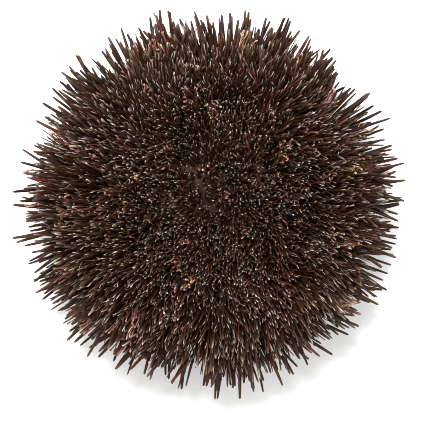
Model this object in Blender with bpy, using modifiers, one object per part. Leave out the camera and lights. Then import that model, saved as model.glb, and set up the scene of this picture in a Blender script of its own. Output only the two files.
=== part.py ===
"""A whole sea urchin with its spines on, standing on the tips of its lowest spines.

Run it with blender --background --python part.py. Units are metres, and +Z is up.
"""

import math
import random
from collections import namedtuple

import bmesh
import bpy
from mathutils import Quaternion, Vector, noise

NAME = "sea_urchin"

# Shell: a flattened globe, fuller below than above
SHELL_RADIUS = 0.0430
SHELL_RISE = 0.0270  # from the widest level up to the crown
SHELL_DROP = 0.0190  # from the widest level down to the underside
CROWN_POWER = 2.1  # 2 gives an ellipse, and more is squarer
UNDER_POWER = 2.5
SHELL_GAP = 0.0100  # from the floor up to the shell
WIDEST_LEVEL = SHELL_GAP + SHELL_DROP
SHELL_LEVELS = 6  # profile steps in each half
SHELL_SIDES = 26

# Mouth: a round dip in the underside with a low dome, and five teeth that meet
MOUTH_RADIUS = 0.0105
MOUTH_DIP = 0.0014
MOUTH_DOME_RADIUS = 0.0050
TOOTH_COUNT = 5
TOOTH_LENGTH = 0.0042
TOOTH_WIDTH = 0.0026
TOOTH_SPREAD = 0.0021  # from the middle out to a tooth's root
TOOTH_SINK = 0.0010

# Spines, by how high they stand: crown, widest level and underside
SPINE_COUNT = 908
CROWN_LENGTH = 0.0095
SIDE_LENGTH = 0.0250
UNDER_LENGTH = 0.0130
LENGTH_SPREAD = 0.12  # standard deviation, as a share of the length
LENGTH_LIMITS = (0.70, 1.14)
SIDE_WIDTH = 0.00180
CROWN_WIDTH = 0.00125
SPINE_SIDES = 4
SPINE_SINK = 0.0014  # how deep the wide end goes into the shell
CROWN_DENSITY = 0.90  # spines to the area, beside 1 at the widest level
UNDER_DENSITY = 0.80
BARE_CROWN = 0.0028  # radius of the bare spot on the crown
UPRIGHT = 0.45  # how much of its outward tilt a spine at the very crown keeps
CROWN_LEAN = 0.30  # how far spines lean at the crown, beside 1 at the sides
LEAN_SPREAD = 0.22  # standard deviation of a spine's own lean, as a slope
PATCH_LEAN = 1.15  # how far neighbours lean together, as a slope for noise of 1
PATCH_SCALE = 1 / 0.012  # patches to the metre
PATCH_STEP = 37.0  # sets the noise for each axis apart
COMMON_LEAN = Vector((-0.10, -0.01, 0.0))
SPINE_CLEARANCE = 0.00015
TRIES = 14
NEAR = 0.030  # spines rooted farther apart than this can't touch
GOLDEN_TURN = math.pi * (3 - math.sqrt(5))
PROFILE_SAMPLES = 600
SEED = 205

Spine = namedtuple("Spine", "root way length width")


def clear_scene():
    for item in list(bpy.data.objects):
        bpy.data.objects.remove(item, do_unlink=True)


def new_collection(name):
    collection = bpy.data.collections.new(name)
    bpy.context.scene.collection.children.link(collection)
    return collection


def shell_point(turn):
    """Radius and height of the shell's outline, for a turn of 0 at the crown to pi at the underside."""
    above = turn <= math.pi / 2
    power = CROWN_POWER if above else UNDER_POWER
    reach = SHELL_RISE if above else SHELL_DROP
    radius = SHELL_RADIUS * abs(math.sin(turn)) ** (2 / power)
    height = reach * abs(math.cos(turn)) ** (2 / power)
    return radius, WIDEST_LEVEL + (height if above else -height)


def shell_slope(radius, height):
    """The outward direction at a point of the outline, as shares along the radius and along Z."""
    above = height >= WIDEST_LEVEL
    power = CROWN_POWER if above else UNDER_POWER
    reach = SHELL_RISE if above else SHELL_DROP
    out = (radius / SHELL_RADIUS) ** (power - 1) / SHELL_RADIUS
    up = (abs(height - WIDEST_LEVEL) / reach) ** (power - 1) / reach
    size = math.hypot(out, up)
    return out / size, (up if above else -up) / size


def shell_profile():
    """Outline of the core from the crown down to the lip of the mouth, then in over the mouth."""
    lip_turn = math.pi
    while shell_point(lip_turn)[0] < MOUTH_RADIUS:
        lip_turn -= 0.002
    half = math.pi / 2
    upper = [half * i / SHELL_LEVELS for i in range(SHELL_LEVELS)]
    lower = [half + (lip_turn - half) * i / SHELL_LEVELS for i in range(SHELL_LEVELS + 1)]
    points = [shell_point(turn) for turn in upper + lower]
    lip = points[-1][1]
    points.append((0.85 * MOUTH_RADIUS, lip + MOUTH_DIP))
    points.append((MOUTH_DOME_RADIUS, lip + 0.5 * MOUTH_DIP))
    points.append((0.0, lip))
    points[0] = (0.0, points[0][1])
    return points


def make_core(collection):
    """The shell, turned from its outline."""
    mesh = bpy.data.meshes.new(NAME)
    outline = [(radius, 0.0, height) for radius, height in shell_profile()]
    mesh.from_pydata(outline, [(i, i + 1) for i in range(len(outline) - 1)], [])
    core = bpy.data.objects.new(NAME, mesh)
    collection.objects.link(core)
    screw = core.modifiers.new("Turned", "SCREW")
    screw.axis = "Z"
    screw.steps = SHELL_SIDES
    screw.render_steps = SHELL_SIDES
    screw.use_merge_vertices = True
    screw.merge_threshold = 1e-5
    apply_modifiers(core)
    tidy = bmesh.new()
    tidy.from_mesh(core.data)
    bmesh.ops.recalc_face_normals(tidy, faces=tidy.faces[:])
    tidy.to_mesh(core.data)
    tidy.free()
    return core


def apply_modifiers(item):
    """Puts what the modifiers make in place of the object's own mesh."""
    evaluated = item.evaluated_get(bpy.context.evaluated_depsgraph_get())
    made = bpy.data.meshes.new_from_object(evaluated)
    old = item.data
    item.modifiers.clear()
    item.data = made
    bpy.data.meshes.remove(old)
    made.name = item.name


def density(height):
    """Spines to the area at a height, beside 1 at the widest level."""
    if height >= WIDEST_LEVEL:
        share = (height - WIDEST_LEVEL) / SHELL_RISE
        return 1 + (CROWN_DENSITY - 1) * share
    share = (WIDEST_LEVEL - height) / SHELL_DROP
    return 1 + (UNDER_DENSITY - 1) * share


def spine_places(count):
    """Roots spread evenly over the shell as a sunflower's seeds are, as lists of radius, height and angle."""
    rows = []
    total = 0.0
    before = shell_point(0.0)
    for i in range(1, PROFILE_SAMPLES + 1):
        here = shell_point(math.pi * i / PROFILE_SAMPLES)
        radius = (before[0] + here[0]) / 2
        height = (before[1] + here[1]) / 2
        bare = BARE_CROWN if height > WIDEST_LEVEL else MOUTH_RADIUS + SIDE_WIDTH
        if radius > bare:
            total += radius * math.dist(before, here) * density(height)
        rows.append((total, radius, height))
        before = here
    places = []
    row = 0
    for i in range(count):
        wanted = total * (i + 0.5) / count
        while rows[row][0] < wanted:
            row += 1
        places.append((rows[row][1], rows[row][2], i * GOLDEN_TURN))
    return places


def root_and_way(radius, height, angle):
    """A point of the shell, and the direction in which a spine stands there when it doesn't lean."""
    out, up = shell_slope(radius, height)
    side = Vector((math.cos(angle), math.sin(angle), 0.0))
    rise = max((height - WIDEST_LEVEL) / SHELL_RISE, 0.0)
    out *= 1 - (1 - UPRIGHT) * rise
    return side * radius + Vector((0.0, 0.0, height)), (side * out + Vector((0.0, 0.0, up))).normalized()


def lean_share(height):
    """How far spines lean at a height, beside 1 from the widest level down."""
    return 1 - (1 - CROWN_LEAN) * max((height - WIDEST_LEVEL) / SHELL_RISE, 0.0)


def spine_size(height, draw):
    """Length and width of a spine rooted at a height, with its own luck."""
    if height >= WIDEST_LEVEL:
        share = ((height - WIDEST_LEVEL) / SHELL_RISE) ** 1.2
        end = CROWN_LENGTH
    else:
        share = ((WIDEST_LEVEL - height) / SHELL_DROP) ** 1.3
        end = UNDER_LENGTH
    luck = min(max(draw.gauss(1, LENGTH_SPREAD), LENGTH_LIMITS[0]), LENGTH_LIMITS[1])
    length = (SIDE_LENGTH + (end - SIDE_LENGTH) * share) * luck
    width = SIDE_WIDTH + (CROWN_WIDTH - SIDE_WIDTH) * share
    return length, width


def patch_lean(root):
    """The lean that neighbouring spines share, from smooth noise."""
    spot = root * PATCH_SCALE
    shares = [noise.noise(spot + Vector((SEED, 0.0, PATCH_STEP * axis))) for axis in range(3)]
    return Vector(shares) * PATCH_LEAN


def gap_between(one, other):
    """Clear distance between two spines, taken as cones about their middle lines."""
    from_root = one.root - other.root
    a = one.way * one.length
    b = other.way * other.length
    aa, bb, ab = a.dot(a), b.dot(b), a.dot(b)
    ar, br = a.dot(from_root), b.dot(from_root)
    flat = aa * bb - ab * ab
    along = min(max((ab * br - bb * ar) / flat, 0.0), 1.0) if flat > 1e-18 else 0.0
    across = min(max((ab * along + br) / bb, 0.0), 1.0)
    along = min(max((ab * across - ar) / aa, 0.0), 1.0)
    distance = (from_root + a * along - b * across).length
    return distance - one.width / 2 * (1 - along) - other.width / 2 * (1 - across)


def lay_out_spines():
    """Every spine, the ones at the sides first because they are the largest, clear of each other."""
    draw = random.Random(SEED)
    places = sorted(spine_places(SPINE_COUNT), key=lambda place: abs(place[1] - WIDEST_LEVEL))
    spines = []
    for radius, height, angle in places:
        root, straight = root_and_way(radius, height, angle)
        length, width = spine_size(height, draw)
        near = [other for other in spines if (other.root - root).length < NEAR]
        leans = lean_share(height)
        common = COMMON_LEAN + patch_lean(root) * leans
        for attempt in range(TRIES):
            calm = 1 - attempt / TRIES
            own = Vector([draw.gauss(0, LEAN_SPREAD * calm) for _ in range(3)]) * leans
            way = (straight + (own + common) * calm).normalized()
            reach = min(length, root.z / -way.z) if way.z < 0 else length
            spine = Spine(root, way, reach, width)
            if all(gap_between(spine, other) > SPINE_CLEARANCE for other in near):
                spines.append(spine)
                break
    return spines


def make_spike(name, start, way, length, width, sides, turn, collection):
    """A pointed cone with few sides from a start along a way."""
    shape = bmesh.new()
    bmesh.ops.create_cone(
        shape, cap_ends=True, segments=sides, radius1=width / 2, radius2=0.0, depth=length
    )
    bmesh.ops.translate(shape, verts=shape.verts[:], vec=(0.0, 0.0, length / 2))
    mesh = bpy.data.meshes.new(name)
    shape.to_mesh(mesh)
    shape.free()
    spike = bpy.data.objects.new(name, mesh)
    spike.rotation_mode = "QUATERNION"
    spike.rotation_quaternion = way.to_track_quat("Z", "Y") @ Quaternion((0.0, 0.0, 1.0), turn)
    spike.location = start
    collection.objects.link(spike)
    return spike


def make_spines(spines, collection):
    draw = random.Random(SEED + 1)
    for number, spine in enumerate(spines):
        start = spine.root - spine.way * SPINE_SINK
        taper = (spine.length + SPINE_SINK) / spine.length
        make_spike(
            f"spine_{number}",
            start,
            spine.way,
            spine.length + SPINE_SINK,
            spine.width * taper,
            SPINE_SIDES,
            draw.uniform(0, math.pi),
            collection,
        )


def make_teeth(collection):
    """Five teeth that lean in until their tips nearly meet under the mouth."""
    lip = shell_profile()[-1][1]
    for number in range(TOOTH_COUNT):
        angle = 2 * math.pi * number / TOOTH_COUNT
        side = Vector((math.cos(angle), math.sin(angle), 0.0))
        start = side * TOOTH_SPREAD + Vector((0.0, 0.0, lip + TOOTH_SINK))
        way = (-side * 0.42 + Vector((0.0, 0.0, -1.0))).normalized()
        make_spike(
            f"tooth_{number}", start, way, TOOTH_LENGTH, TOOTH_WIDTH, SPINE_SIDES, angle, collection
        )


def join_spikes(core, spikes):
    """One union of the shell with all the spines and teeth."""
    union = core.modifiers.new("Joined", "BOOLEAN")
    union.operation = "UNION"
    union.operand_type = "COLLECTION"
    union.collection = spikes
    union.solver = "MANIFOLD"
    apply_modifiers(core)
    for item in list(spikes.objects):
        bpy.data.objects.remove(item, do_unlink=True)
    bpy.data.collections.remove(spikes)


def centre_on_origin(item):
    """Moves the mesh so that its box stands on the origin."""
    corners = [Vector(corner) for corner in item.bound_box]
    low = Vector([min(corner[axis] for corner in corners) for axis in range(3)])
    high = Vector([max(corner[axis] for corner in corners) for axis in range(3)])
    middle = (low + high) / 2
    for vertex in item.data.vertices:
        vertex.co -= Vector((middle.x, middle.y, low.z))


def spine_material():
    material = bpy.data.materials.new("dark_brown_spines")
    material.use_nodes = True
    shader = material.node_tree.nodes["Principled BSDF"]
    shader.inputs["Base Color"].default_value = (0.045, 0.024, 0.016, 1.0)
    shader.inputs["Roughness"].default_value = 0.45
    shader.inputs["Metallic"].default_value = 0.0
    return material


def main():
    clear_scene()
    parts = new_collection("Sea urchin")
    spikes = new_collection("Spines and teeth")
    core = make_core(parts)
    make_spines(lay_out_spines(), spikes)
    make_teeth(spikes)
    bpy.context.view_layer.update()
    join_spikes(core, spikes)
    centre_on_origin(core)
    core.data.materials.clear()
    core.data.materials.append(spine_material())


main()
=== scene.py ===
"""Looks of the whole sea urchin: its shell, spines of five sizes, tube feet, crown and mouth."""

import math
import random
from collections import namedtuple

import bpy
import numpy as np
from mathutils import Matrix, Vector, kdtree, noise


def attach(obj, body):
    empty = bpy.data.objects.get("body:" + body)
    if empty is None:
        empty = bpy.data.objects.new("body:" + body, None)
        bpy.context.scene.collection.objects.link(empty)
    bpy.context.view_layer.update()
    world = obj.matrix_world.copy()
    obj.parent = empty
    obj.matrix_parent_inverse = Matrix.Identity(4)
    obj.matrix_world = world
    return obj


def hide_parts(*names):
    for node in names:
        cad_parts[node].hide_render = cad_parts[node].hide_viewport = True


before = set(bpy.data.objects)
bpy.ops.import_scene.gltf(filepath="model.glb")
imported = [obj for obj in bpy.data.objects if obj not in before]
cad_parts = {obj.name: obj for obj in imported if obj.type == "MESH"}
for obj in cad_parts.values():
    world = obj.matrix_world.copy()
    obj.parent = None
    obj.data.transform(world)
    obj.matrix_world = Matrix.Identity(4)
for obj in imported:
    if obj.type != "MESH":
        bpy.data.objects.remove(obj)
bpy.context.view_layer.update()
NODE = "sea_urchin"

# Shell, as in the solid: a flattened globe, fuller below than above
SHELL_RADIUS = 0.0430
SHELL_RISE = 0.0270
SHELL_DROP = 0.0190
CROWN_POWER = 2.1
UNDER_POWER = 2.5
SHELL_GAP = 0.0100
WIDEST_LEVEL = SHELL_GAP + SHELL_DROP
MOUTH_RADIUS = 0.0105
MOUTH_DIP = 0.0014
MOUTH_DOME_RADIUS = 0.0050
# The mouth's skin from its lip in to the dome, as shares of the mouth's radius and of its dip
MOUTH_SKIN = ((0.93, 0.60), (0.80, 1.00), (0.62, 0.75))
# The dome in the middle of the mouth, as shares of its own radius and of the mouth's dip
MOUTH_DOME = ((1.0, 0.40), (0.5, 0.05), (0.0, 0.0))
SHELL_LEVELS = 40
SHELL_SIDES = 80
RIBS = 10
RIB_DEPTH = 0.006  # as a share of the radius

# Large spines, as in the solid
SPINE_COUNT = 908
CROWN_LENGTH = 0.0095
SIDE_LENGTH = 0.0250
UNDER_LENGTH = 0.0130
CROWN_CURVE = 1.2  # how late a spine's size changes towards the crown
UNDER_CURVE = 1.3  # and towards the underside
LENGTH_SPREAD = 0.12
LENGTH_LIMITS = (0.70, 1.14)
SIDE_WIDTH = 0.00180
CROWN_WIDTH = 0.00125
CROWN_DENSITY = 0.90
UNDER_DENSITY = 0.80
BARE_CROWN = 0.0028
UPRIGHT = 0.45
CROWN_LEAN = 0.30
LEAN_SPREAD = 0.22
PATCH_LEAN = 1.15
PATCH_SCALE = 1 / 0.012
PATCH_STEP = 37.0
COMMON_LEAN = Vector((-0.10, -0.01, 0.0))
SPINE_CLEARANCE = 0.00015
TRIES = 14
NEAR = 0.030
GOLDEN_TURN = math.pi * (3 - math.sqrt(5))
PROFILE_SAMPLES = 600
SEED = 205

# Finer spines between the large ones
TUFT_SCALE = 1 / 0.0055  # small tufts to the metre
TUFT_LEAN = 0.26
TUFT_STEP = 91.0
BLUNTNESS = 0.55  # a spine's width at its tip, as a share of the width at its foot
FINE_CLEARANCE = 0.00006
FINE_TRIES = 8
FINE_REACH = 2.2  # how far off placed spines are looked at, beside a spine's own length
CROWN_RATE = 1.6  # how soon spines come to look as on the crown, up the shell

# How a spine's width runs along it: the share of its length, then of its width at the sides and on the crown
LARGE_PROFILE = (
    (-0.03, 0.80, 0.80), (0.020, 0.96, 0.96), (0.045, 0.98, 0.98), (0.065, 0.78, 0.78),
    (0.12, 0.78, 0.78), (0.35, 0.78, 0.72), (0.62, 0.75, 0.60), (0.84, 0.64, 0.44),
    (0.970, 0.49, 0.30), (0.992, 0.36, 0.18),
)
MIDDLE_PROFILE = (
    (-0.03, 0.95, 0.95), (0.05, 1.00, 1.00), (0.09, 0.88, 0.86), (0.45, 0.92, 0.84),
    (0.78, 0.80, 0.58), (0.96, 0.60, 0.34), (0.990, 0.42, 0.20),
)
SMALL_PROFILE = (
    (-0.04, 0.95, 0.95), (0.10, 1.00, 1.00), (0.55, 0.92, 0.88), (0.93, 0.62, 0.46), (0.985, 0.45, 0.28),
)
HAIR_PROFILE = ((-0.04, 1.00, 1.00), (0.45, 1.00, 1.00), (0.85, 0.80, 0.80), (0.97, 0.55, 0.55))
BRISTLE_PROFILE = ((-0.06, 1.00, 1.00), (0.55, 0.88, 0.88), (0.94, 0.45, 0.45))
LARGE_SIDES = 8
LARGE_MESH_SEED = 11

# Layers of finer spines, from the widest down. at_sides and on_crown give the least and most length, as
# shares of a large spine's there, and the least and most width. lean is the standard deviation of a spine's
# own lean, as a slope, and bend how far its tip bends aside, as a share of its length.
Layer = namedtuple(
    "Layer",
    "name count seed bare_crown crown_density under_density at_sides on_crown lean"
    " profile sides mesh_seed bend material",
)
LAYERS = (
    Layer(
        name="middle_spines", count=3150, seed=21, bare_crown=0.0016, crown_density=1.45, under_density=0.8,
        at_sides=(0.79, 1.01, 0.00120, 0.00158), on_crown=(0.85, 1.05, 0.00075, 0.00095), lean=0.29,
        profile=MIDDLE_PROFILE, sides=5, mesh_seed=12, bend=0.03, material="thick_spine",
    ),
    Layer(
        name="small_spines", count=5000, seed=31, bare_crown=0.0016, crown_density=2.4, under_density=0.7,
        at_sides=(0.45, 0.78, 0.00066, 0.00092), on_crown=(0.85, 1.08, 0.00046, 0.00064), lean=0.30,
        profile=SMALL_PROFILE, sides=4, mesh_seed=13, bend=0.05, material="thin_spine",
    ),
    Layer(
        name="hair_spines", count=9000, seed=36, bare_crown=0.0014, crown_density=3.4, under_density=0.7,
        at_sides=(0.35, 0.68, 0.00034, 0.00046), on_crown=(0.82, 1.12, 0.00032, 0.00044), lean=0.34,
        profile=HAIR_PROFILE, sides=3, mesh_seed=20, bend=0.10, material="thin_spine",
    ),
    Layer(
        name="bristles", count=3500, seed=41, bare_crown=0.0014, crown_density=1.2, under_density=0.7,
        at_sides=(0.12, 0.34, 0.00034, 0.00050), on_crown=(0.12, 0.34, 0.00030, 0.00044), lean=0.28,
        profile=BRISTLE_PROFILE, sides=3, mesh_seed=14, bend=0.06, material="thin_spine",
    ),
)

# Tubercles: the ball on its boss that a large spine turns on, beside the spine's own width
BOSS_WIDTH = 1.75
BOSS_HEIGHT = 0.55
BOSS_SIDES = 8
BOSS_MESH_SEED = 15
BOSS_PROFILE = (
    (-0.60, 1.00, 1.00), (0.10, 0.98, 0.98), (0.42, 0.86, 0.86), (0.62, 0.60, 0.60), (0.72, 0.38, 0.38),
    (0.90, 0.34, 0.34),
)

# Tube feet: limp threads in bundles, in five double rows from the mouth to the crown
FOOT_ROWS = 5
FOOT_ROW_TURN = math.radians(30)
FOOT_ROW_HALF = math.radians(10)  # from the middle of a double row to each of its two
FOOT_ROW_SPREAD = 0.20  # standard deviation of a bundle's angle
FOOT_BUNDLES = 180
FOOT_BUNDLE_SEED = 50
FOOT_BARE_CROWN = 0.004
FOOT_DENSITY = 0.35  # at the crown and underside, beside 1 at the widest level
FOOT_BUNDLE_SIZE = 7
FOOT_BUNDLE_WIDTH = 0.0007
FOOT_ROOM = 0.0015  # kept free of finer spines round a bundle
FOOT_REACH = (0.66, 1.02)  # least and most length of a bundle, as shares of a large spine's
FOOT_TONES = (0.12, 0.30, 0.42, 0.55, 0.92)
FOOT_SEED = 51
FOOT_WIDTHS = (0.00034, 0.00052)
FOOT_LENGTHS = (0.72, 1.0)  # of a thread, beside its bundle's
FOOT_LEAN = 0.10
FOOT_WAVE = 0.0010
FOOT_WAVES = (0.4, 1.0)  # least and most of that
FOOT_WINDS = (1.2, 2.6)  # least and most waves in a thread
FOOT_TONE_SPREAD = 0.06
FOOT_CROWN_TONE = 0.10  # how much darker a bundle is on the crown
FOOT_LEAST_HEIGHT = 0.0006
FOOT_SIDES = 4
FOOT_MESH_SEED = 16
FOOT_PROFILE = (
    (-0.04, 1.10), (0.12, 1.00), (0.26, 0.86), (0.40, 1.02), (0.54, 0.86), (0.68, 1.00), (0.82, 0.84),
    (0.93, 0.84), (0.960, 1.50), (0.990, 1.55),
)

# Small domed plates on the bare middle of the crown
CROWN_PLATES = 34
CROWN_PLATES_RADIUS = 0.0034
CROWN_PLATE_WIDTH = 0.0011
CROWN_PLATE_HEIGHT = 0.0007
CROWN_PLATE_SIZES = (0.75, 1.1)
CROWN_PLATE_SEED = 61
CROWN_PLATE_SIDES = 8
CROWN_PLATE_MESH_SEED = 17
PLATE_PROFILE = ((-1.2, 1.00, 1.00), (0.0, 1.00, 1.00), (0.45, 0.88, 0.88), (0.80, 0.55, 0.55))

# Teeth, as in the solid, and the threads round the mouth
TEETH = 5
TOOTH_LENGTH = 0.0042
TOOTH_WIDTH = 0.0026
TOOTH_SPREAD = 0.0021
TOOTH_SINK = 0.0010
TOOTH_LEAN = 0.42
TOOTH_BOW = 0.0004
TOOTH_TONES = 7  # columns of the map from one tooth's tone to the next
TOOTH_SIDES = 8
TOOTH_MESH_SEED = 18
TOOTH_PROFILE = (
    (0.0, 0.92), (0.15, 0.96), (0.32, 0.90), (0.50, 0.76), (0.66, 0.58), (0.80, 0.40), (0.92, 0.22),
    (0.97, 0.12),
)
MOUTH_SEED = 71
MOUTH_SIDES = 5
MOUTH_MESH_SEED = 19
THREAD_WIND = 6  # how far a thread winds along its length, as an angle
THREAD_OUT = 0.3  # how far it leans outward, as a slope
MOUTH_FEET = 10
MOUTH_FEET_SHIFT = 0.18  # towards each other in a pair, as a share of the step between them
MOUTH_FEET_PLACE = (0.62, 0.7)  # shares of the mouth's radius and of its dip
MOUTH_FOOT_LENGTH = 0.0034
MOUTH_FOOT_WIDTH = 0.0008
MOUTH_FOOT_WAVE = 0.0002
GILL_TUFTS = 10
GILL_THREADS = 14
GILL_SHIFT = 0.30
GILL_PLACE = (0.95, 0.3)
GILL_SPREAD = 0.6  # standard deviation of a thread's lean, as a slope
GILL_LENGTHS = (0.0014, 0.0030)
GILL_WIDTH = 0.00045
GILL_WAVE = 0.0003

# Colours of the spines
COLUMNS = 96  # tones on the spines' colour map
# The bands carry painted light and shade: spines are painted lighter up the shell and darker at the sides.
BAND_STARTS = (0.05, 0.32, 0.68)  # how high on the upper shell each band of tones after the first begins
BANDS = len(BAND_STARTS) + 1
BAND_BLUR = 0.09
# How pale the tips are in each band: partly the spines' own pale tips, partly a painted highlight, stronger
# up the shell where the tips face the light
TIP_PALE_AND_HIGHLIGHT_BANDS = {"thick_spine": (0.02, 0.10, 0.45, 0.85), "thin_spine": (0.05, 0.32, 0.90, 1.00)}
# Hollows are gaps in the spine cover; the spines rooted in them are painted dark, as painted shade.
HOLLOW_SCALE = 1 / 0.0045  # dark patches to the metre
HOLLOW_STEP = 71.0
HOLLOW_LEVEL = 0.27  # the noise above which a spine is in one
HOLLOW_FADE = 0.60  # added to that level at the sides
TONE_SCALE = 1 / 0.0050
TONE_STEP = 53.0
TONE_PATCHES = 0.46
TONE_SPREAD = 0.22
TIP_SPREAD = 0.09  # in where a tip begins to pale, as a share of the length
TIP_END = 0.97  # where it is palest
TIP_CURVE = 0.9
# How pale each spine's own tip is, as pale colour and painted highlight: the share of spines, then the
# paleness
TIP_PALE_AND_HIGHLIGHT = ((0.00, 0.07), (0.30, 0.16), (0.55, 0.33), (0.74, 0.57), (0.88, 0.90), (1.00, 1.00))
STREAKS = (COLUMNS * 3.0, 9.0, 1.0)  # across the map, along a spine, and in depth
STREAK_BUMP = 0.00004
MAP_NAME = "OFBake"

# Skin of the shell, tubercles and crown plates
SKIN_COLOURS = ((0.036, 0.018, 0.011), (0.060, 0.030, 0.018))
SKIN_MOTTLES = 260  # to the metre
SKIN_BUMPS = 4 * SKIN_MOTTLES
SKIN_ROUGHNESS = 0.75
SKIN_BUMP = 0.0002

# Camera, light and floor
PIXEL = 0.1367 / 392  # metres to a pixel of the photo, from the width across the tips
PHOTO_WIDE = 425
PHOTO_HIGH = 424
PHOTO_MIDDLE = (207.0, 203.0)  # of the urchin
CAMERA_DISTANCE = 0.75
SENSOR = 36.0
ROOM_LIGHT = 1.135
KEY_PLACE = (-0.11, 0.38, 1.12)
KEY_AIM = (0.0, 0.0, 0.03)
KEY_SIZE = 0.24
KEY_POWER = 17
FLOOR_SIZE = 6.0
FLOOR_COLOUR = (0.92, 0.92, 0.91, 1.0)

Spine = namedtuple("Spine", "root way length width")


# Layout of the large spines, by the same rule as in the solid


def shell_point(turn):
    """Radius and height of the shell's outline, for a turn of 0 at the crown to pi at the underside."""
    above = turn <= math.pi / 2
    power = CROWN_POWER if above else UNDER_POWER
    reach = SHELL_RISE if above else SHELL_DROP
    radius = SHELL_RADIUS * abs(math.sin(turn)) ** (2 / power)
    height = reach * abs(math.cos(turn)) ** (2 / power)
    return radius, WIDEST_LEVEL + (height if above else -height)


def shell_slope(radius, height):
    """The outward direction at a point of the outline, as shares along the radius and along Z."""
    above = height >= WIDEST_LEVEL
    power = CROWN_POWER if above else UNDER_POWER
    reach = SHELL_RISE if above else SHELL_DROP
    out = (radius / SHELL_RADIUS) ** (power - 1) / SHELL_RADIUS
    up = (abs(height - WIDEST_LEVEL) / reach) ** (power - 1) / reach
    size = math.hypot(out, up)
    return out / size, (up if above else -up) / size


def density(height, crown_density, under_density):
    """Spines to the area at a height, beside 1 at the widest level."""
    if height >= WIDEST_LEVEL:
        share = (height - WIDEST_LEVEL) / SHELL_RISE
        return 1 + (crown_density - 1) * share
    share = (WIDEST_LEVEL - height) / SHELL_DROP
    return 1 + (under_density - 1) * share


def spine_places(count, bare_crown=BARE_CROWN, crown_density=CROWN_DENSITY, under_density=UNDER_DENSITY):
    """Roots spread evenly over the shell as a sunflower's seeds are, as lists of radius, height and angle."""
    rows = []
    total = 0.0
    before = shell_point(0.0)
    for i in range(1, PROFILE_SAMPLES + 1):
        here = shell_point(math.pi * i / PROFILE_SAMPLES)
        radius = (before[0] + here[0]) / 2
        height = (before[1] + here[1]) / 2
        bare = bare_crown if height > WIDEST_LEVEL else MOUTH_RADIUS + SIDE_WIDTH
        if radius > bare:
            total += radius * math.dist(before, here) * density(height, crown_density, under_density)
        rows.append((total, radius, height))
        before = here
    places = []
    row = 0
    for i in range(count):
        wanted = total * (i + 0.5) / count
        while rows[row][0] < wanted:
            row += 1
        places.append((rows[row][1], rows[row][2], i * GOLDEN_TURN))
    return places


def root_and_way(radius, height, angle):
    """A point of the shell, and the direction in which a spine stands there when it doesn't lean."""
    out, up = shell_slope(radius, height)
    side = Vector((math.cos(angle), math.sin(angle), 0.0))
    rise = max((height - WIDEST_LEVEL) / SHELL_RISE, 0.0)
    out *= 1 - (1 - UPRIGHT) * rise
    return side * radius + Vector((0.0, 0.0, height)), (side * out + Vector((0.0, 0.0, up))).normalized()


def lean_share(height):
    """How far spines lean at a height, beside 1 from the widest level down."""
    return 1 - (1 - CROWN_LEAN) * max((height - WIDEST_LEVEL) / SHELL_RISE, 0.0)


def level_share(height):
    """0 at the widest level, 1 at the crown or the underside, and the spines' length there."""
    if height >= WIDEST_LEVEL:
        return ((height - WIDEST_LEVEL) / SHELL_RISE) ** CROWN_CURVE, CROWN_LENGTH
    return ((WIDEST_LEVEL - height) / SHELL_DROP) ** UNDER_CURVE, UNDER_LENGTH


def spine_size(height, draw):
    """Length and width of a spine rooted at a height, with its own luck."""
    share, end = level_share(height)
    luck = min(max(draw.gauss(1, LENGTH_SPREAD), LENGTH_LIMITS[0]), LENGTH_LIMITS[1])
    length = (SIDE_LENGTH + (end - SIDE_LENGTH) * share) * luck
    width = SIDE_WIDTH + (CROWN_WIDTH - SIDE_WIDTH) * share
    return length, width


def patch_lean(root, scale=PATCH_SCALE, step=PATCH_STEP, most=PATCH_LEAN):
    """The lean that neighbouring spines share, from smooth noise."""
    spot = root * scale
    shares = [noise.noise(spot + Vector((SEED, 0.0, step * axis))) for axis in range(3)]
    return Vector(shares) * most


def gap_between(one, other):
    """Clear distance between two spines, taken as cones about their middle lines."""
    from_root = one.root - other.root
    a = one.way * one.length
    b = other.way * other.length
    aa, bb, ab = a.dot(a), b.dot(b), a.dot(b)
    ar, br = a.dot(from_root), b.dot(from_root)
    flat = aa * bb - ab * ab
    along = min(max((ab * br - bb * ar) / flat, 0.0), 1.0) if flat > 1e-18 else 0.0
    across = min(max((ab * along + br) / bb, 0.0), 1.0)
    along = min(max((ab * across - ar) / aa, 0.0), 1.0)
    distance = (from_root + a * along - b * across).length
    return distance - one.width / 2 * (1 - along) - other.width / 2 * (1 - across)


def lay_out_spines():
    """Every large spine, the ones at the sides first, clear of each other."""
    draw = random.Random(SEED)
    places = sorted(spine_places(SPINE_COUNT), key=lambda place: abs(place[1] - WIDEST_LEVEL))
    spines = []
    for radius, height, angle in places:
        root, straight = root_and_way(radius, height, angle)
        length, width = spine_size(height, draw)
        near = [other for other in spines if (other.root - root).length < NEAR]
        leans = lean_share(height)
        common = COMMON_LEAN + patch_lean(root) * leans
        for attempt in range(TRIES):
            calm = 1 - attempt / TRIES
            own = Vector([draw.gauss(0, LEAN_SPREAD * calm) for _ in range(3)]) * leans
            way = (straight + (own + common) * calm).normalized()
            reach = min(length, root.z / -way.z) if way.z < 0 else length
            spine = Spine(root, way, reach, width)
            if all(gap_between(spine, other) > SPINE_CLEARANCE for other in near):
                spines.append(spine)
                break
    return spines


def solid_shift(spines):
    """How far the solid's box was moved to stand on the origin."""
    tips = [spine.root + spine.way * spine.length for spine in spines]
    low = Vector([min(tip[axis] for tip in tips) for axis in range(3)])
    high = Vector([max(tip[axis] for tip in tips) for axis in range(3)])
    middle = (low + high) / 2
    return Vector((-middle.x, -middle.y, 0.0))


# Finer spines, kept clear of those already placed


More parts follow.
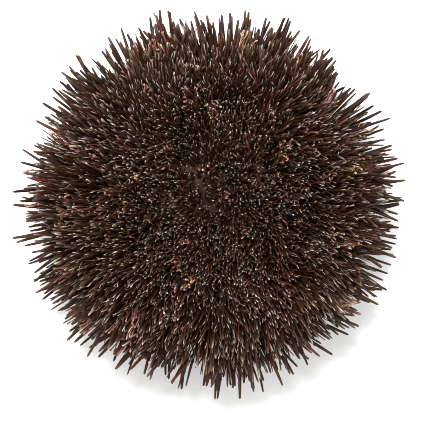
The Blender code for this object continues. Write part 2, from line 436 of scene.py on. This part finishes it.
class Crowd:
    """Placed spines, as arrays with a row for each."""

    def __init__(self, most):
        self.roots = np.zeros((most, 3))
        self.runs = np.zeros((most, 3))
        self.widths = np.zeros(most)
        self.count = 0

    def add(self, spine):
        self.roots[self.count] = spine.root
        self.runs[self.count] = spine.way * spine.length
        self.widths[self.count] = spine.width
        self.count += 1

    def gaps(self, root, runs, width, reach):
        """For each of some runs from one root, the least clear distance to the placed spines."""
        away = np.array(root) - self.roots[: self.count]
        near = np.flatnonzero((away * away).sum(axis=1) < reach * reach)
        if not len(near):
            return np.full(len(runs), reach)
        away = away[near]
        others = self.runs[near]
        aa = (runs * runs).sum(axis=1)[:, None]
        bb = (others * others).sum(axis=1)[None]
        ab = runs @ others.T
        ar = runs @ away.T
        br = (others * away).sum(axis=1)[None]
        flat = np.maximum(aa * bb - ab * ab, 1e-18)
        along = np.clip((ab * br - bb * ar) / flat, 0.0, 1.0)
        across = np.clip((ab * along + br) / bb, 0.0, 1.0)
        along = np.clip((ab * across - ar) / aa, 0.0, 1.0)
        between = away + runs[:, None] * along[..., None] - others * across[..., None]
        distance = np.linalg.norm(between, axis=2)
        taken = width * (1 - (1 - BLUNTNESS) * along) + self.widths[near] * (1 - (1 - BLUNTNESS) * across)
        return (distance - taken / 2).min(axis=1)


def point_tree(points):
    """A tree that finds the nearest of some points."""
    tree = kdtree.KDTree(len(points))
    for i, point in enumerate(points):
        tree.insert(point, i)
    tree.balance()
    return tree


def crown_share(height):
    """0 from the widest level down, rising to 1 well up the shell."""
    return min(max(CROWN_RATE * (height - WIDEST_LEVEL) / SHELL_RISE, 0.0), 1.0)


def in_hollow(root):
    """Whether a root is in one of the small hollows in the spine cover, which only the upper shell has; the
    spines rooted there are painted dark, as painted shade.
    """
    level = HOLLOW_LEVEL + HOLLOW_FADE * (1 - crown_share(root.z))
    return noise.noise(root * HOLLOW_SCALE + Vector((SEED, 0.0, HOLLOW_STEP))) > level


def places_between(layer, crowd, bundle_roots):
    """Roots spread evenly over the shell, but none near a placed spine or a bundle, or in a hollow."""
    placed = point_tree(crowd.roots[: crowd.count])
    bundles = point_tree(bundle_roots)
    places = spine_places(
        layer.count + crowd.count, layer.bare_crown, layer.crown_density, layer.under_density
    )
    roots = [root_and_way(*place)[0] for place in places]
    gaps = [placed.find(root)[2] for root in roots]
    least = sorted(gaps, reverse=True)[layer.count - 1]
    return [
        place
        for place, root, gap in zip(places, roots, gaps)
        if gap >= least and bundles.find(root)[2] > FOOT_ROOM and not in_hollow(root)
    ][: layer.count]


def fill_between(layer, crowd, bundle_roots):
    """A layer of finer spines between the placed ones, and added to them."""
    draw = random.Random(layer.seed)
    spines = []
    for radius, height, angle in places_between(layer, crowd, bundle_roots):
        root, straight = root_and_way(radius, height, angle)
        leans = lean_share(height)
        shared = patch_lean(root) + patch_lean(root, TUFT_SCALE, TUFT_STEP, TUFT_LEAN)
        common = COMMON_LEAN + shared * leans
        rise = crown_share(height)
        limits = [low + (high - low) * rise for low, high in zip(layer.at_sides, layer.on_crown)]
        length = spine_size(height, draw)[0] * draw.uniform(*limits[:2])
        width = draw.uniform(*limits[2:])
        ways = []
        for attempt in range(FINE_TRIES):
            calm = 1 - attempt / FINE_TRIES
            own = Vector([draw.gauss(0, layer.lean) for _ in range(3)])
            ways.append((straight + own + common * calm).normalized())
        reaches = [min(length, root.z / -way.z) if way.z < 0 else length for way in ways]
        runs = np.array([way * reach for way, reach in zip(ways, reaches)])
        gaps = crowd.gaps(root, runs, width, min(NEAR, FINE_REACH * length))
        clear = np.flatnonzero(gaps > FINE_CLEARANCE)
        best = clear[0] if len(clear) else int(gaps.argmax())
        spine = Spine(root, ways[best], reaches[best], width)
        crowd.add(spine)
        spines.append(spine)
    return spines


# Meshes


def build_mesh(name, points, groups):
    """A mesh from points and groups of faces.

    A group is an array of its faces' corners and one of those corners' places on the colour map.
    """
    mesh = bpy.data.meshes.new(name)
    corners = np.concatenate([faces.ravel() for faces, _ in groups])
    sizes = np.concatenate([np.full(len(faces), faces.shape[1]) for faces, _ in groups])
    starts = np.concatenate([[0], np.cumsum(sizes)[:-1]])
    mesh.vertices.add(len(points))
    mesh.vertices.foreach_set("co", points.astype(np.float32).ravel())
    mesh.loops.add(len(corners))
    mesh.loops.foreach_set("vertex_index", corners.astype(np.int32))
    mesh.polygons.add(len(sizes))
    mesh.polygons.foreach_set("loop_start", starts.astype(np.int32))
    mesh.polygons.foreach_set("use_smooth", np.ones(len(sizes), bool))
    places = np.concatenate([spots.reshape(-1, 2) for _, spots in groups])
    layer = mesh.uv_layers.new(name=MAP_NAME)
    layer.uv.foreach_set("vector", places.astype(np.float32).ravel())
    mesh.update(calc_edges=True)
    mesh.validate()
    piece = bpy.data.objects.new(name, mesh)
    bpy.context.scene.collection.objects.link(piece)
    return piece


def unit(vectors):
    """The same directions at a length of 1."""
    return vectors / np.linalg.norm(vectors, axis=-1, keepdims=True)


def stack(*arrays, axis=-1):
    """Joins arrays that are first spread to the same shape."""
    return np.stack(np.broadcast_arrays(*arrays), axis=axis)


def tube_mesh(name, lines, radii, columns, along, sides, seed):
    """Closed tapered tubes that end in a point.

    lines holds the middle line of each, radii its radius at every station but the last, and along the share
    of the length there. On the map a tube's column is its tone, and the height is the share of its length.
    """
    count, stations = lines.shape[:2]
    rings = stations - 1
    ways = unit(np.gradient(lines, axis=1))
    whole = unit(lines[:, -1] - lines[:, 0])[:, None]
    helper = np.where(np.abs(whole[..., 2:3]) < 0.9, [[[0.0, 0.0, 1.0]]], [[[1.0, 0.0, 0.0]]])
    other = unit(np.cross(ways, unit(np.cross(whole, helper))))
    one = np.cross(other, ways)
    turn = np.random.default_rng(seed).uniform(0, 2 * math.pi, count)
    angles = (turn[:, None] + 2 * math.pi * np.arange(sides) / sides)[:, None, :, None]
    ring = np.cos(angles) * one[:, :rings, None] + np.sin(angles) * other[:, :rings, None]
    walls = lines[:, :rings, None] + ring * radii[..., None, None]
    points = np.concatenate([walls.reshape(count, -1, 3), lines[:, rings:]], axis=1).reshape(-1, 3)
    points[:, 2] = np.maximum(points[:, 2], 0.0)

    each = rings * sides + 1
    first = (np.arange(count) * each)[:, None, None]
    level = (np.arange(rings - 1) * sides)[None, :, None]
    here = np.arange(sides)[None, None, :]
    after = (here + 1) % sides
    low = first + level
    quads = stack(low + here, low + after, low + sides + after, low + sides + here)
    top = first + (rings - 1) * sides
    ends = stack(top + here, top + after, first + each - 1)
    bases = first[:, 0] + np.arange(sides)[::-1][None, :]

    left = (columns[:, None, None] + 0.15 + 0.7 * here / sides) / COLUMNS
    right = left + 0.7 / sides / COLUMNS
    height = (np.clip(along, 0.0, 1.0) * 0.96 + 0.02)[None, :, None]
    under, over = height[:, : rings - 1], height[:, 1:rings]
    quad_spots = stack(
        stack(left, under), stack(right, under), stack(right, over), stack(left, over), axis=-2
    )
    rim = height[:, rings - 1 : rings]
    end_spots = stack(stack(left, rim), stack(right, rim), stack((left + right) / 2, 0.99), axis=-2)
    circle = 2 * math.pi * np.arange(sides)[::-1] / sides
    base_across = (columns[:, None] + 0.5 + 0.3 * np.cos(circle)) / COLUMNS
    base_spots = stack(base_across, 0.010 + 0.008 * np.sin(circle))
    return build_mesh(
        name,
        points,
        [
            (quads.reshape(-1, 4), quad_spots.reshape(-1, 4, 2)),
            (ends.reshape(-1, 3), end_spots.reshape(-1, 3, 2)),
            (bases.reshape(-1, sides), base_spots.reshape(-1, sides, 2)),
        ],
    )


def pick_column(root, draw):
    """The map's column for a spine: a band by how high it stands, which sets its painted light and shade and
    how pale its tip is, and a tone that is alike in patches.
    """
    rise = (root.z - WIDEST_LEVEL) / SHELL_RISE
    level = rise + draw.gauss(0, BAND_BLUR)
    band = sum(level > start for start in BAND_STARTS)
    # A spine rooted in a hollow gets the darkest band, as painted shade.
    if in_hollow(root):
        band = 0
    patch = noise.noise(root * TONE_SCALE + Vector((SEED, 0.0, TONE_STEP)))
    tone = min(max(0.5 + TONE_PATCHES * patch + draw.gauss(0, TONE_SPREAD), 0.0), 0.999)
    each = COLUMNS // BANDS
    return band * each + int(each * tone)


def spine_mesh(name, spines, profile, sides, seed, shift, bend=0.0):
    """Spines with one profile, each bent a little if asked."""
    draw = random.Random(seed)
    columns = np.array([pick_column(spine.root, draw) for spine in spines])
    bends = []
    for spine in spines:
        sway = Vector([draw.gauss(0, bend) for _ in range(3)])
        sway -= spine.way * sway.dot(spine.way)
        sway.z = max(sway.z, -spine.root.z / spine.length - spine.way.z)
        bends.append(sway)
    roots = np.array([spine.root + shift for spine in spines])[:, None]
    ways = np.array([spine.way for spine in spines])[:, None]
    lengths = np.array([spine.length for spine in spines])[:, None, None]
    widths = np.array([spine.width for spine in spines])[:, None]
    along, side_wide, crown_wide = np.array(profile).T
    along = np.append(along, 1.0)
    crown = np.array([crown_share(spine.root.z) for spine in spines])[:, None]
    radii = widths / 2 * (side_wide + (crown_wide - side_wide) * crown)
    shares = along[None, :, None]
    lines = roots + lengths * (ways * shares + np.array(bends)[:, None] * shares**2)
    return tube_mesh(name, lines, radii, columns, along, sides, seed)


def finish_piece(piece, material):
    """One material, and the solid that the piece stands for."""
    piece.data.materials.clear()
    piece.data.materials.append(material)
    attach(piece, "root")
    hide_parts(NODE)


# Shell, tubercles, tube feet, crown and mouth


def lathe(name, outline, sides, shift, relief):
    """A closed turned shape from pairs of radius and height that start and end on the axis."""
    levels = len(outline) - 2
    angles = 2 * math.pi * np.arange(sides) / sides
    inner = np.array(outline[1:-1])
    radii = inner[:, :1] * relief(angles)[None]
    points = stack(radii * np.cos(angles), radii * np.sin(angles), inner[:, 1:]).reshape(-1, 3)
    ends = np.array([[0.0, 0.0, outline[0][1]], [0.0, 0.0, outline[-1][1]]])
    points = np.concatenate([points, ends]) + np.array(shift)
    level = (np.arange(levels - 1) * sides)[:, None]
    here = np.arange(sides)[None, :]
    after = (here + 1) % sides
    quads = stack(level + here, level + sides + here, level + sides + after, level + after).reshape(-1, 4)
    crown = stack(here[0], after[0], levels * sides)
    foot = stack((levels - 1) * sides + after[0], (levels - 1) * sides + here[0], levels * sides + 1)

    left = here / sides
    right = left + 1 / sides
    low = (np.arange(levels - 1)[:, None] + 1) / (levels + 1)
    high = low + 1 / (levels + 1)
    quad_spots = stack(stack(left, low), stack(left, high), stack(right, high), stack(right, low), axis=-2)
    middle = (left[0] + right[0]) / 2
    near, far = 1 / (levels + 1), levels / (levels + 1)
    crown_spots = stack(stack(left[0], near), stack(right[0], near), stack(middle, 0.0), axis=-2)
    foot_spots = stack(stack(right[0], far), stack(left[0], far), stack(middle, 1.0), axis=-2)
    return build_mesh(
        name, points, [(quads, quad_spots.reshape(-1, 4, 2)), (crown, crown_spots), (foot, foot_spots)]
    )


def shell_outline(levels):
    """The shell's outline down to the lip of the mouth, then in over the mouth's soft skin."""
    lip_turn = math.pi
    while shell_point(lip_turn)[0] < MOUTH_RADIUS:
        lip_turn -= 0.002
    outline = [(0.0, shell_point(0.0)[1])]
    outline += [shell_point(lip_turn * (i + 1) / levels) for i in range(levels)]
    lip = outline[-1][1]
    outline += [(wide * MOUTH_RADIUS, lip + deep * MOUTH_DIP) for wide, deep in MOUTH_SKIN]
    outline += [(wide * MOUTH_DOME_RADIUS, lip + deep * MOUTH_DIP) for wide, deep in MOUTH_DOME]
    return outline


def ribbed(angles):
    """Ten low ribs, one for each double row of plates."""
    return 1 - RIB_DEPTH * (0.5 + 0.5 * np.cos(RIBS * angles))


def make_tubercles(spines, shift):
    """The ball that each large spine turns on, on its low boss."""
    bosses = []
    for spine in spines:
        x, y, height = spine.root
        straight = root_and_way(math.hypot(x, y), height, math.atan2(y, x))[1]
        bosses.append(Spine(spine.root, straight, BOSS_HEIGHT * spine.width, BOSS_WIDTH * spine.width))
    return spine_mesh("tubercles", bosses, BOSS_PROFILE, BOSS_SIDES, BOSS_MESH_SEED, shift)


def lay_out_bundles():
    """Root, direction, length and tone of each bundle of tube feet."""
    draw = random.Random(FOOT_BUNDLE_SEED)
    bundles = []
    places = spine_places(FOOT_BUNDLES, FOOT_BARE_CROWN, FOOT_DENSITY, FOOT_DENSITY)
    for number, (radius, height, _) in enumerate(places):
        row = FOOT_ROW_TURN + 2 * math.pi * (number % FOOT_ROWS) / FOOT_ROWS
        side = 1 if (number // FOOT_ROWS) % 2 else -1
        taper = 0.35 + 0.65 * radius / SHELL_RADIUS
        angle = row + side * FOOT_ROW_HALF * taper + draw.gauss(0, FOOT_ROW_SPREAD)
        root, straight = root_and_way(radius, height, angle)
        share, end = level_share(height)
        length = (SIDE_LENGTH + (end - SIDE_LENGTH) * share) * draw.uniform(*FOOT_REACH)
        tone = draw.choice(FOOT_TONES) - FOOT_CROWN_TONE * crown_share(height)
        way = straight + COMMON_LEAN + patch_lean(root) * lean_share(height)
        bundles.append((root, way.normalized(), length, tone))
    return bundles


def wavy_line(start, run, phases, wind, wave, along):
    """A thread's middle line, which sways more towards its end."""
    line = []
    for station in along:
        sway = Vector([math.sin(phase + wind * station) - math.sin(phase) for phase in phases])
        line.append(start + run * station + sway * wave * max(station, 0.0))
    return line


def make_tube_feet(bundles, shift):
    """Limp threads with a small disc at the end."""
    draw = random.Random(FOOT_SEED)
    along = np.array([share for share, _ in FOOT_PROFILE] + [1.0])
    wide = np.array([share for _, share in FOOT_PROFILE])
    lines, widths, columns = [], [], []
    for root, middle_way, reach, tone in bundles:
        for _ in range(FOOT_BUNDLE_SIZE):
            offset = Vector([draw.gauss(0, FOOT_BUNDLE_WIDTH) for _ in range(3)])
            offset -= middle_way * offset.dot(middle_way)
            way = (middle_way + Vector([draw.gauss(0, FOOT_LEAN) for _ in range(3)])).normalized()
            length = reach * draw.uniform(*FOOT_LENGTHS)
            if way.z < 0:
                length = min(length, 0.97 * root.z / -way.z)
            phases = [draw.uniform(0, 2 * math.pi) for _ in range(3)]
            pitch = draw.uniform(*FOOT_WINDS) * 2 * math.pi
            wave = FOOT_WAVE * draw.uniform(*FOOT_WAVES)
            lines.append(wavy_line(root + offset + shift, way * length, phases, pitch, wave, along))
            widths.append(draw.uniform(*FOOT_WIDTHS))
            own_tone = min(max(tone + draw.gauss(0, FOOT_TONE_SPREAD), 0.0), 0.99)
            columns.append(int(COLUMNS // BANDS * own_tone))
    lines = np.array(lines)
    lines[..., 2] = np.maximum(lines[..., 2], FOOT_LEAST_HEIGHT)
    radii = np.array(widths)[:, None] / 2 * wide
    return tube_mesh("tube_feet", lines, radii, np.array(columns), along, FOOT_SIDES, FOOT_MESH_SEED)


def radius_turn(radius):
    """The turn at which the upper shell has a radius."""
    return math.asin((radius / SHELL_RADIUS) ** (CROWN_POWER / 2))


def make_crown_plates(shift):
    """Small domed plates on the bare middle of the crown."""
    draw = random.Random(CROWN_PLATE_SEED)
    plates = []
    for number in range(CROWN_PLATES):
        radius = CROWN_PLATES_RADIUS * math.sqrt((number + 0.5) / CROWN_PLATES)
        turn = radius_turn(radius)
        root, straight = root_and_way(*shell_point(turn), number * GOLDEN_TURN)
        size = draw.uniform(*CROWN_PLATE_SIZES)
        plates.append(Spine(root, straight, CROWN_PLATE_HEIGHT * size, CROWN_PLATE_WIDTH * size))
    return spine_mesh(
        "crown_plates", plates, PLATE_PROFILE, CROWN_PLATE_SIDES, CROWN_PLATE_MESH_SEED, shift
    )


def make_teeth(lip, shift):
    """Five ivory teeth that meet under the mouth."""
    along = np.array([share for share, _ in TOOTH_PROFILE] + [1.0])
    wide = np.array([share for _, share in TOOTH_PROFILE])
    lines = []
    for number in range(TEETH):
        angle = 2 * math.pi * number / TEETH
        side = Vector((math.cos(angle), math.sin(angle), 0.0))
        start = side * TOOTH_SPREAD + Vector((0.0, 0.0, lip + TOOTH_SINK)) + shift
        way = (side * -TOOTH_LEAN + Vector((0.0, 0.0, -1.0))).normalized()
        bow = side * TOOTH_BOW
        line = [start + way * TOOTH_LENGTH * share + bow * math.sin(math.pi * share) for share in along]
        lines.append(line)
    radii = np.full((TEETH, 1), TOOTH_WIDTH / 2) * wide
    columns = np.arange(TEETH) * TOOTH_TONES
    return tube_mesh("teeth", np.array(lines), radii, columns, along, TOOTH_SIDES, TOOTH_MESH_SEED)


def round_mouth(angle, out, deep, lip):
    """The outward direction at an angle, and a point there at shares of the mouth's radius and dip."""
    side = Vector((math.cos(angle), math.sin(angle), 0.0))
    return side, side * out * MOUTH_RADIUS + Vector((0.0, 0.0, lip + deep * MOUTH_DIP))


def make_mouth_fringe(lip, shift):
    """Short threads round the mouth: ten single feet on its skin, and ten gill tufts at its lip."""
    draw = random.Random(MOUTH_SEED)
    along = np.array([share for share, _ in FOOT_PROFILE] + [1.0])
    wide = np.array([share for _, share in FOOT_PROFILE])
    lines, widths, columns = [], [], []

    def add_thread(root, way, length, width, wave):
        phases = [draw.uniform(0, 2 * math.pi) for _ in range(3)]
        lines.append(wavy_line(root + shift, way * length, phases, THREAD_WIND, wave, along))
        widths.append(width)
        columns.append(draw.randrange(COLUMNS))

    for number in range(MOUTH_FEET):
        step = number + (MOUTH_FEET_SHIFT if number % 2 else -MOUTH_FEET_SHIFT)
        side, root = round_mouth(2 * math.pi * step / MOUTH_FEET, *MOUTH_FEET_PLACE, lip)
        way = (side * THREAD_OUT - Vector((0.0, 0.0, 1.0))).normalized()
        add_thread(root, way, MOUTH_FOOT_LENGTH, MOUTH_FOOT_WIDTH, MOUTH_FOOT_WAVE)
    for tuft in range(GILL_TUFTS):
        step = tuft + 0.5 + (GILL_SHIFT if tuft % 2 else -GILL_SHIFT)
        side, root = round_mouth(2 * math.pi * step / GILL_TUFTS, *GILL_PLACE, lip)
        for _ in range(GILL_THREADS):
            way = Vector((draw.gauss(0, GILL_SPREAD), draw.gauss(0, GILL_SPREAD), -1.0)) + side * THREAD_OUT
            add_thread(root, way.normalized(), draw.uniform(*GILL_LENGTHS), GILL_WIDTH, GILL_WAVE)
    lines, columns = np.array(lines), np.array(columns)
    radii = np.array(widths)[:, None] / 2 * wide
    return tube_mesh("mouth_fringe", lines, radii, columns, along, MOUTH_SIDES, MOUTH_MESH_SEED)


# Materials


def new_material(name):
    """A material with only a Principled shader, and functions that add nodes and links to it."""
    material = bpy.data.materials.new(name)
    material.use_nodes = True
    tree = material.node_tree
    shader = tree.nodes["Principled BSDF"]

    def add(kind, inputs=None, **settings):
        node = tree.nodes.new(kind)
        for key, value in settings.items():
            setattr(node, key, value)
        for key, value in (inputs or {}).items():
            if isinstance(value, bpy.types.NodeSocket):
                tree.links.new(value, node.inputs[key])
            else:
                node.inputs[key].default_value = value
        return node

    return material, shader, add, tree.links.new


def ramp(add, fac, stops, interpolation="LINEAR"):
    """A colour ramp through pairs of place and linear colour."""
    node = add("ShaderNodeValToRGB", {"Fac": fac})
    node.color_ramp.interpolation = interpolation
    elements = node.color_ramp.elements
    while len(elements) < len(stops):
        elements.new(1.0)
    for element, (place, colour) in zip(elements, stops):
        element.position = place
        element.color = (*colour, 1.0)
    return node.outputs["Color"]


def grey(value):
    """A colour with all three parts alike."""
    return (value, value, value)


def multiply(add, one, other):
    """Two colours multiplied."""
    node = add("ShaderNodeMix", {"Factor": 1.0, 6: one, 7: other}, data_type="RGBA", blend_type="MULTIPLY")
    return node.outputs[2]


def tube_material(
    name, tones, shade, tip_colour_and_highlight, tip_pale_and_highlight_bands, tip_starts, roughness, coat,
    painted_light_and_shade_gains=((1.0, 1.0, 1.0),) * BANDS, shade_bands=(1.0,) * BANDS,
):
    """Tubes, each of its own tone, shaded along its length (on the spines, painted shade near the foot and
    painted light near the tip), streaked, and with a paler tip, on the spines partly a painted highlight.

    For each band of columns, tip_pale_and_highlight_bands gives how pale its tips are, tip_starts the least
    share of the length where they begin to pale, gains what its tones are multiplied by, and shade_bands how
    much of the shading along the length shows.
    """
    material, shader, add, link = new_material(name)
    spot = add("ShaderNodeUVMap", uv_map=MAP_NAME).outputs["UV"]
    parts = add("ShaderNodeSeparateXYZ", {"Vector": spot})
    across, along = parts.outputs["X"], parts.outputs["Y"]
    column = add("ShaderNodeMath", {0: across, 1: float(COLUMNS)}, operation="MULTIPLY").outputs[0]
    number = add("ShaderNodeMath", {0: column}, operation="FLOOR").outputs[0]
    chance = add("ShaderNodeTexWhiteNoise", {"W": number}, noise_dimensions="1D").outputs["Color"]
    chances = add("ShaderNodeSeparateColor", {"Color": chance})
    in_band = add("ShaderNodeMath", {0: number, 1: float(COLUMNS // BANDS)}, operation="MODULO").outputs[0]
    tone = add("ShaderNodeMath", {0: in_band, 1: BANDS / COLUMNS}, operation="MULTIPLY").outputs[0]

    def by_band(colours):
        return ramp(add, across, [(i / BANDS, colour) for i, colour in enumerate(colours)], "CONSTANT")

    # Painted light and shade by band: tones lighter up the shell, darker at the sides.
    painted_light_and_shade_tones = multiply(add, ramp(add, tone, tones), by_band(painted_light_and_shade_gains))
    # The ramp along the length is painted shade and light, shown in each band as much as shade_bands says.
    shaded = add(
        "ShaderNodeMix",
        {"Factor": by_band(map(grey, shade_bands)), 6: painted_light_and_shade_tones, 7: ramp(add, along, shade)},
        data_type="RGBA",
        blend_type="MULTIPLY",
    )
    body = shaded.outputs[2]
    streak_at = add("ShaderNodeVectorMath", {0: spot, 1: STREAKS}, operation="MULTIPLY").outputs[0]
    streak = add("ShaderNodeTexNoise", {"Vector": streak_at, "Scale": 1.0, "Detail": 2.0}).outputs["Fac"]
    streaked = multiply(add, body, ramp(add, streak, ((0.32, grey(0.60)), (0.68, grey(1.45)))))

    begins = add(
        "ShaderNodeMath",
        {0: chances.outputs[1], 1: TIP_SPREAD, 2: by_band(map(grey, tip_starts))},
        operation="MULTIPLY_ADD",
    ).outputs[0]
    tip = add("ShaderNodeMapRange", {"Value": along, "From Min": begins, "From Max": TIP_END}).outputs[0]
    tip_curve = add("ShaderNodeMath", {0: tip, 1: TIP_CURVE}, operation="POWER").outputs[0]
    # The pale tip is partly the spine's own colour and partly a painted highlight.
    band_pale_and_highlight = by_band(map(grey, tip_pale_and_highlight_bands))
    own_pale_and_highlight = ramp(add, chances.outputs[2], [(share, grey(value)) for share, value in TIP_PALE_AND_HIGHLIGHT])
    most_pale_and_highlight = add("ShaderNodeMath", {0: band_pale_and_highlight, 1: own_pale_and_highlight}, operation="MULTIPLY").outputs[0]
    pale = add("ShaderNodeMath", {0: tip_curve, 1: most_pale_and_highlight}, operation="MULTIPLY").outputs[0]
    colours = {"Factor": pale, 6: streaked, 7: (*tip_colour_and_highlight, 1.0)}
    link(add("ShaderNodeMix", colours, data_type="RGBA").outputs[2], shader.inputs["Base Color"])
    rough = ramp(add, streak, ((0.30, grey(roughness)), (0.75, grey(roughness + 0.2))))
    link(rough, shader.inputs["Roughness"])
    bump = add("ShaderNodeBump", {"Height": streak, "Strength": 0.35, "Distance": STREAK_BUMP})
    link(bump.outputs["Normal"], shader.inputs["Normal"])
    shader.inputs["Specular IOR Level"].default_value = 0.13
    shader.inputs["Coat Weight"].default_value = coat
    shader.inputs["Coat Roughness"].default_value = 0.15
    return material


def spine_material(name):
    """Brown spines, with painted shade that darkens and reddens them towards the foot, painted light towards
    the tip, painted lighter up the shell and darker at the sides, and the upper ones pale at the very tip,
    partly their own colour and partly a painted highlight.
    """
    return tube_material(
        name,
        tones=(
            (0.00, (0.030, 0.021, 0.013)),
            (0.16, (0.037, 0.024, 0.014)),
            (0.32, (0.048, 0.029, 0.017)),
            (0.50, (0.058, 0.033, 0.020)),
            (0.68, (0.066, 0.036, 0.022)),
            (0.84, (0.080, 0.038, 0.025)),
            (1.00, (0.138, 0.044, 0.031)),
        ),
        # Painted shade darkens and reddens each spine from the foot to about three quarters of its length;
        # painted light lightens it towards the tip.
        shade=(
            (0.00, (0.95, 0.62, 0.38)),
            (0.50, (0.76, 0.62, 0.48)),
            (0.74, (0.84, 0.79, 0.73)),
            (0.90, (1.28, 1.28, 1.28)),
            (1.00, (1.68, 1.72, 1.72)),
        ),
        # A cream tip: partly the spines' own pale tips, partly a painted highlight.
        tip_colour_and_highlight=(0.92, 0.80, 0.69),
        tip_pale_and_highlight_bands=TIP_PALE_AND_HIGHLIGHT_BANDS[name],
        tip_starts=(0.80, 0.82, 0.81, 0.84),
        roughness=0.36,
        coat=0.02,
        # Painted light and shade by band: the side spines darkened, those up the shell lightened.
        painted_light_and_shade_gains=((0.49, 0.300, 0.195), (0.57, 0.390, 0.270), (0.78, 0.67, 0.59), (0.98, 0.89, 0.84)),
        shade_bands=(0.40, 0.85, 1.00, 1.00),
    )


def foot_material():
    """Limp threads from rust to tan, with a paler disc."""
    return tube_material(
        "tube_foot",
        tones=(
            (0.00, (0.125, 0.032, 0.026)),
            (0.30, (0.215, 0.060, 0.050)),
            (0.55, (0.290, 0.096, 0.074)),
            (0.75, (0.320, 0.130, 0.070)),
            (1.00, (0.410, 0.250, 0.120)),
        ),
        shade=((0.00, grey(0.55)), (0.40, grey(0.85)), (1.00, grey(1.10))),
        tip_colour_and_highlight=(0.62, 0.48, 0.32),
        tip_pale_and_highlight_bands=(0.8,) * BANDS,
        tip_starts=(0.82,) * BANDS,
        roughness=0.38,
        coat=0.30,
    )


def tooth_material():
    """Ivory, browner at the root."""
    return tube_material(
        "ivory_tooth",
        tones=((0.0, (0.60, 0.52, 0.40)), (1.0, (0.70, 0.62, 0.50))),
        shade=((0.0, (0.35, 0.28, 0.22)), (0.35, (0.75, 0.70, 0.64)), (1.0, grey(1.0))),
        tip_colour_and_highlight=(0.78, 0.74, 0.66),
        tip_pale_and_highlight_bands=(1.0,) * BANDS,
        tip_starts=(0.50,) * BANDS,
        roughness=0.25,
        coat=0.30,
    )


def skin_material():
    """Two mottled colours with a fine bump."""
    material, shader, add, link = new_material("dark_skin")
    place = add("ShaderNodeTexCoord").outputs["Object"]
    mottle = add("ShaderNodeTexNoise", {"Vector": place, "Scale": SKIN_MOTTLES, "Detail": 4.0}).outputs["Fac"]
    link(ramp(add, mottle, tuple(zip((0.35, 0.65), SKIN_COLOURS))), shader.inputs["Base Color"])
    fine = add("ShaderNodeTexNoise", {"Vector": place, "Scale": SKIN_BUMPS, "Detail": 3.0}).outputs["Fac"]
    bump = add("ShaderNodeBump", {"Height": fine, "Strength": 0.4, "Distance": SKIN_BUMP})
    link(bump.outputs["Normal"], shader.inputs["Normal"])
    shader.inputs["Roughness"].default_value = SKIN_ROUGHNESS
    shader.inputs["Specular IOR Level"].default_value = 0.15
    return material


# Stage


def add_floor():
    """A plain white ground."""
    bpy.ops.mesh.primitive_plane_add(size=FLOOR_SIZE)
    floor = bpy.context.object
    floor.name = "floor"
    material, shader, _, _ = new_material("white_floor")
    shader.inputs["Base Color"].default_value = FLOOR_COLOUR
    shader.inputs["Roughness"].default_value = 0.9
    shader.inputs["Specular IOR Level"].default_value = 0.1
    floor.data.materials.append(material)


def add_key_light():
    """A round lamp, high up and a little behind."""
    light = bpy.data.lights.new("key", "AREA")
    light.shape = "DISK"
    light.size = KEY_SIZE
    light.energy = KEY_POWER
    item = bpy.data.objects.new("key", light)
    item.location = KEY_PLACE
    item.rotation_euler = (Vector(KEY_AIM) - Vector(KEY_PLACE)).to_track_quat("-Z", "Y").to_euler()
    bpy.context.scene.collection.objects.link(item)


def add_world():
    """Even white light from all round."""
    world = bpy.data.worlds.new("white_room")
    world.use_nodes = True
    background = world.node_tree.nodes["Background"]
    background.inputs["Color"].default_value = (1.0, 1.0, 1.0, 1.0)
    background.inputs["Strength"].default_value = ROOM_LIGHT
    bpy.context.scene.world = world


def add_camera():
    """Looks straight down, with the urchin's middle where the photo has it."""
    camera = bpy.data.cameras.new("camera")
    camera.sensor_width = SENSOR
    camera.lens = SENSOR * CAMERA_DISTANCE / (PHOTO_WIDE * PIXEL)
    item = bpy.data.objects.new("camera", camera)
    right = (PHOTO_WIDE / 2 - PHOTO_MIDDLE[0]) * PIXEL
    down = (PHOTO_HIGH / 2 - PHOTO_MIDDLE[1]) * PIXEL
    item.location = (right, -down, WIDEST_LEVEL + CAMERA_DISTANCE)
    bpy.context.scene.collection.objects.link(item)
    bpy.context.scene.camera = item


def make_urchin():
    """Every piece of the urchin."""
    spines = lay_out_spines()
    shift = solid_shift(spines)
    bundles = lay_out_bundles()
    bundle_roots = [root for root, _, _, _ in bundles]
    crowd = Crowd(SPINE_COUNT + sum(layer.count for layer in LAYERS))
    for spine in spines:
        crowd.add(spine)
    finer = [fill_between(layer, crowd, bundle_roots) for layer in LAYERS]

    materials = {name: spine_material(name) for name in TIP_PALE_AND_HIGHLIGHT_BANDS}
    large = spine_mesh("large_spines", spines, LARGE_PROFILE, LARGE_SIDES, LARGE_MESH_SEED, shift)
    finish_piece(large, materials["thick_spine"])
    for layer, fine in zip(LAYERS, finer):
        piece = spine_mesh(layer.name, fine, layer.profile, layer.sides, layer.mesh_seed, shift, layer.bend)
        finish_piece(piece, materials[layer.material])

    skin = skin_material()
    outline = shell_outline(SHELL_LEVELS)
    lip = outline[-1][1]
    finish_piece(lathe("shell", outline, SHELL_SIDES, shift, ribbed), skin)
    finish_piece(make_tubercles(spines, shift), skin)
    finish_piece(make_crown_plates(shift), skin)
    feet = foot_material()
    finish_piece(make_tube_feet(bundles, shift), feet)
    finish_piece(make_mouth_fringe(lip, shift), feet)
    finish_piece(make_teeth(lip, shift), tooth_material())


def main():
    make_urchin()
    add_floor()
    add_world()
    add_key_light()
    add_camera()
    bpy.context.scene.view_settings.view_transform = "Standard"
    bpy.context.scene.cycles.filter_width = 1.0


main()
